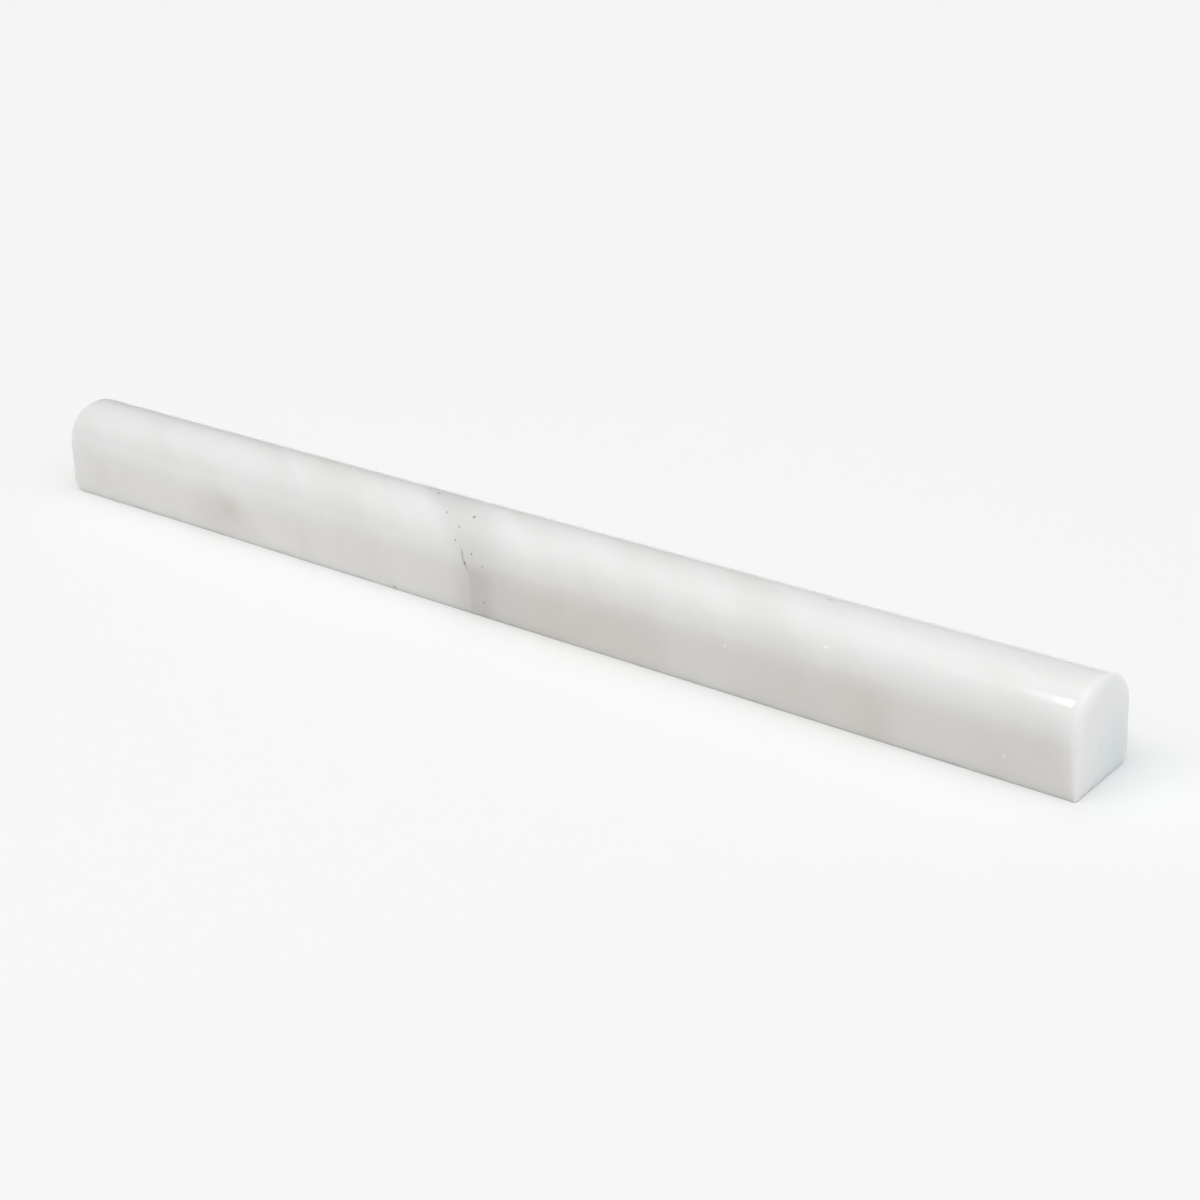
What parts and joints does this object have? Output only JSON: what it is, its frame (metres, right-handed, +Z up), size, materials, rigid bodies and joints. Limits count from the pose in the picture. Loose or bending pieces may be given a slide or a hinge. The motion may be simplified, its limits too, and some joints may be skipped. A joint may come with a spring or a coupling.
{
  "type": "marble pencil moulding",
  "caption": "Straight bar of polished white marble with a domed face and a flat bed, set as a narrow trim strip along the edge of wall tiling.",
  "frame": {"origin": "centre of the bar's flat bed, on the surface it lies on", "axes": "+X along the bar, +Y from the front side to the rear side, +Z up from the bed to the crown of the domed face"},
  "size_m": [0.305, 0.021, 0.0225],
  "materials": {
    "white_marble": "polished"
  },
  "bodies": {
    "root": {"pencil_moulding": "white_marble"}
  },
  "joints": []
}
